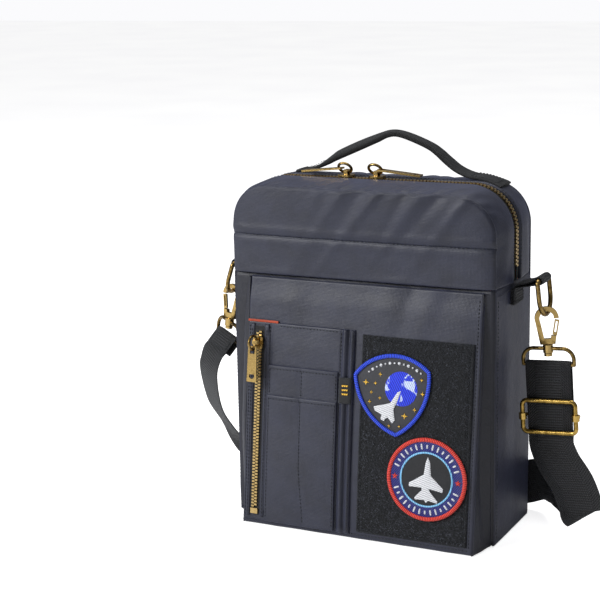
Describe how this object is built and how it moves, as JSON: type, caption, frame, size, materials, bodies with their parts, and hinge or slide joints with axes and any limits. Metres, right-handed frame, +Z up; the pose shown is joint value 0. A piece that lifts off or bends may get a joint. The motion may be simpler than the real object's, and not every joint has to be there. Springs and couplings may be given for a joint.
{
  "type": "flight bag",
  "caption": "Upright flight bag: zipped clamshell mouth, bellows front pocket with pen slots and zipper, badge panel, top handle and clip-on shoulder strap with adjuster.",
  "frame": {"origin": "on the underside of the base, under the main zipper's line and 8 mm to the right of the middle of the bag's width", "axes": "+X along the front to the viewer's right, -Y out of the front, +Z up"},
  "size_m": [0.3705, 0.1671, 0.3252],
  "materials": {
    "black_nylon": "satin",
    "black_webbing": "matte",
    "orange_lining": "satin",
    "orange_trim": "matte",
    "base_board": "matte",
    "zip_tape": "matte",
    "antique_brass": "satin",
    "bright_brass": "gloss",
    "loop_pile": "matte",
    "label_tape": "matte",
    "patch_grey": "matte",
    "patch_blue": "satin",
    "patch_navy": "matte",
    "patch_red": "satin"
  },
  "bodies": {
    "bag": {"back_panel": "black_nylon", "bottom_panel": "black_nylon", "side_panel_left": "black_nylon", "side_panel_right": "black_nylon", "front_panel": "black_nylon", "rear_gusset": "black_nylon", "main_zip_tape_rear": "zip_tape", "main_zip_teeth_rear": "antique_brass", "lining": "orange_lining", "base_board": "base_board", "pocket_front": "black_nylon", "pocket_gusset_left": "black_nylon", "pocket_gusset_right": "black_nylon", "pocket_base": "black_nylon", "utility_panel": "black_nylon", "pen_pocket_rear": "black_nylon", "pen_pocket_front": "black_nylon", "rescue_trim": "orange_trim", "side_label": "label_tape", "loop_panel": "loop_pile", "pocket_zip_tape": "zip_tape", "pocket_zip_teeth": "antique_brass", "handle_base_left": "black_webbing", "handle_base_right": "black_webbing", "tab_left": "black_webbing", "tab_right": "black_webbing", "strap_webbing": "black_webbing"},
    "mouth": {"top_front_panel": "black_nylon", "front_band": "black_nylon", "front_gusset": "black_nylon", "main_zip_tape_front": "zip_tape", "main_zip_teeth_front": "antique_brass", "mouth_lining": "orange_lining"},
    "zip_slider_left": {"main_slider_left": "antique_brass"},
    "zip_slider_right": {"main_slider_right": "antique_brass"},
    "zip_ring_left": {"main_link_left": "antique_brass"},
    "zip_ring_right": {"main_link_right": "antique_brass"},
    "zip_pull_left": {"main_pull_left": "antique_brass"},
    "zip_pull_right": {"main_pull_right": "antique_brass"},
    "pocket_zip_slider": {"pocket_slider": "antique_brass"},
    "pocket_zip_ring": {"pocket_link": "antique_brass"},
    "pocket_zip_pull": {"pocket_pull": "antique_brass"},
    "shield_badge": {"patch_shield": "patch_grey", "patch_shield_border": "patch_blue"},
    "round_badge": {"patch_round": "patch_navy", "patch_round_border": "patch_red"},
    "handle": {"handle_grip": "black_webbing"},
    "hanger_left": {"ring_left": "antique_brass", "eye_left": "antique_brass", "strap_end_left": "black_webbing"},
    "hanger_right": {"ring_right": "antique_brass", "eye_right": "antique_brass", "strap_end_right": "black_webbing"},
    "snap_hook_left": {"hook_left": "antique_brass"},
    "snap_hook_right": {"hook_right": "antique_brass"},
    "hook_gate_left": {"gate_left": "antique_brass"},
    "hook_gate_right": {"gate_right": "antique_brass"},
    "adjuster": {"adjuster_frame": "bright_brass"},
    "adjuster_slide_bar": {"adjuster_bar": "bright_brass"}
  },
  "joints": [
    {"name": "mouth_fold", "type": "hinge", "parent": "bag", "child": "mouth", "pos_m": [0, -0.0445, 0.21], "axis": [1, 0, 0], "range_deg": [0, 45]},
    {"name": "zip_left_run", "type": "slide", "parent": "mouth", "child": "zip_slider_left", "axis": [-1, 0, 0], "range_m": [0, 0.028]},
    {"name": "zip_right_run", "type": "slide", "parent": "mouth", "child": "zip_slider_right", "axis": [1, 0, 0], "range_m": [0, 0.075]},
    {"name": "zip_ring_left_tilt", "type": "hinge", "parent": "zip_slider_left", "child": "zip_ring_left", "pos_m": [-0.038, 0, 0.29015], "axis": [1, 0, 0], "range_deg": [-35, 25]},
    {"name": "zip_pull_left_swing", "type": "hinge", "parent": "zip_ring_left", "child": "zip_pull_left", "pos_m": [-0.038, -0.0036, 0.29444], "axis": [0, 0.766, 0.6428], "range_deg": [0, 70]},
    {"name": "zip_ring_right_tilt", "type": "hinge", "parent": "zip_slider_right", "child": "zip_ring_right", "pos_m": [-0.011, 0, 0.29015], "axis": [1, 0, 0], "range_deg": [-35, 25]},
    {"name": "zip_pull_right_swing", "type": "hinge", "parent": "zip_ring_right", "child": "zip_pull_right", "pos_m": [-0.011, -0.0036, 0.29444], "axis": [0, -0.766, -0.6428], "range_deg": [0, 70]},
    {"name": "pocket_zip_run", "type": "slide", "parent": "bag", "child": "pocket_zip_slider", "axis": [0, -0.1182, -0.993], "range_m": [0, 0.132]},
    {"name": "pocket_ring_tilt", "type": "hinge", "parent": "pocket_zip_slider", "child": "pocket_zip_ring", "pos_m": [-0.094, -0.06058, 0.15474], "axis": [0, 0.1182, 0.993], "range_deg": [-20, 35]},
    {"name": "pocket_pull_swing", "type": "hinge", "parent": "pocket_zip_ring", "child": "pocket_zip_pull", "pos_m": [-0.09478, -0.06609, 0.15539], "axis": [-0.9903, 0.1382, -0.0165], "range_deg": [0, 75]},
    {"name": "shield_badge_pull_off", "type": "slide", "parent": "bag", "child": "shield_badge", "axis": [0, -0.993, 0.1182], "range_m": [0, 0.03]},
    {"name": "round_badge_pull_off", "type": "slide", "parent": "bag", "child": "round_badge", "axis": [0, -0.993, 0.1182], "range_m": [0, 0.03]},
    {"name": "handle_flop", "type": "hinge", "parent": "bag", "child": "handle", "pos_m": [0, 0.022, 0.29], "axis": [1, 0, 0], "range_deg": [-58, 36]},
    {"name": "hanger_left_swing", "type": "hinge", "parent": "bag", "child": "hanger_left", "pos_m": [-0.14, 0, 0.209], "axis": [0, 1, 0], "range_deg": [-3, 40]},
    {"name": "hook_left_swivel", "type": "hinge", "parent": "hanger_left", "child": "snap_hook_left", "pos_m": [-0.1522, 0, 0.15773], "axis": [0.1392, 0, 0.9903], "range_deg": [-12, 40]},
    {"name": "gate_left_open", "type": "hinge", "parent": "snap_hook_left", "child": "hook_gate_left", "pos_m": [-0.15593, 0.00138, 0.16573], "axis": [0.273, 0.9613, -0.0384], "range_deg": [0, 16], "stiffness_Nm_per_rad": 0.02, "springref_deg": -5.73},
    {"name": "hanger_right_swing", "type": "hinge", "parent": "bag", "child": "hanger_right", "pos_m": [0.131, 0, 0.213], "axis": [0, -1, 0], "range_deg": [-3, 40]},
    {"name": "hook_right_swivel", "type": "hinge", "parent": "hanger_right", "child": "snap_hook_right", "pos_m": [0.13572, 0, 0.16033], "axis": [-0.061, 0, 0.9981], "range_deg": [-45, 7]},
    {"name": "gate_right_open", "type": "hinge", "parent": "snap_hook_right", "child": "hook_gate_right", "pos_m": [0.13989, 0.00187, 0.168], "axis": [0.3739, -0.9272, 0.0229], "range_deg": [0, 16], "stiffness_Nm_per_rad": 0.02, "springref_deg": -5.73},
    {"name": "adjuster_run", "type": "slide", "parent": "hanger_right", "child": "adjuster", "axis": [-0.061, 0, 0.9981], "range_m": [0, 0.02]},
    {"name": "adjuster_bar_shift", "type": "slide", "parent": "adjuster", "child": "adjuster_slide_bar", "axis": [-0.061, 0, 0.9981], "range_m": [-0.005, 0.005]}
  ],
  "couplings": [
    {"joint": "zip_left_run", "follows": "mouth_fold", "m_per_rad": 0.03565},
    {"joint": "zip_right_run", "follows": "mouth_fold", "m_per_rad": 0.095492}
  ]
}
